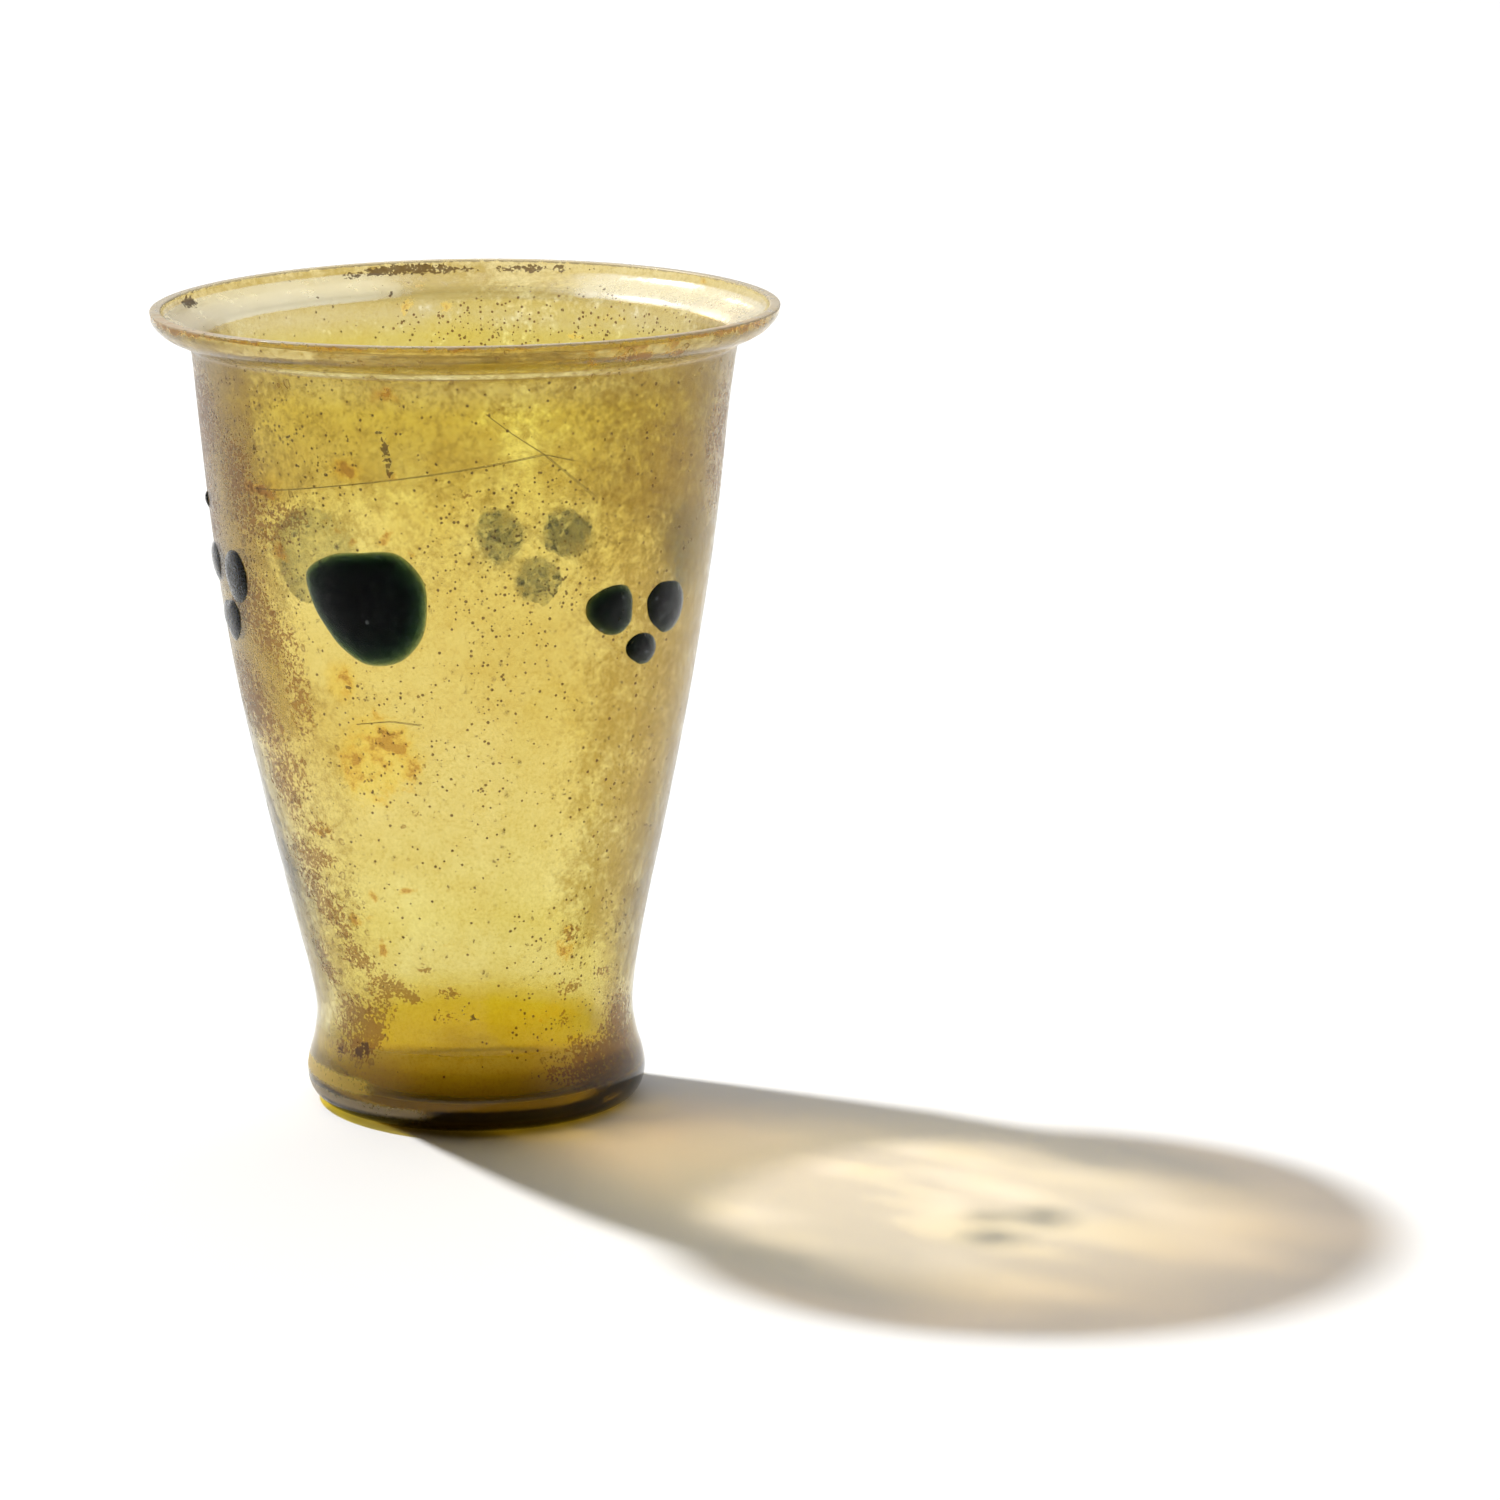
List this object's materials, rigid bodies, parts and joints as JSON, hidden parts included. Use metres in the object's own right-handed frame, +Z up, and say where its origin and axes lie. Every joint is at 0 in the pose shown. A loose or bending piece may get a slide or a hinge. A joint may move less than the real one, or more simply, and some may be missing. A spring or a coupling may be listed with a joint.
{
  "type": "glass cup",
  "caption": "Hand-blown olive-yellow glass beaker with a flared flange lip, a drawn-in waist, a round foot and dark glass blobs fused round its middle.",
  "frame": {"origin": "on the resting plane, under the centre of the lip", "axes": "+Z up along the cup's axis, -Y towards the picture's viewer, +X to the viewer's right"},
  "size_m": [0.088, 0.088, 0.1143],
  "materials": {
    "olive_glass": "weathered olive-yellow blown glass, translucent, with fine pits and brown soil staining",
    "dark_glass": "near-black blue-green glass, fire-polished, with small pits"
  },
  "bodies": {
    "root": {"vessel": "olive_glass", "blob_large_front": "dark_glass", "blob_large_right": "dark_glass", "blob_large_back": "dark_glass", "trio_right_upper_left": "dark_glass", "trio_right_upper_right": "dark_glass", "trio_right_lower": "dark_glass", "trio_back_upper_left": "dark_glass", "trio_back_upper_right": "dark_glass", "trio_back_lower": "dark_glass", "trio_left_upper_left": "dark_glass", "trio_left_upper_right": "dark_glass", "trio_left_lower": "dark_glass", "stray_droplet": "dark_glass"}
  },
  "joints": []
}
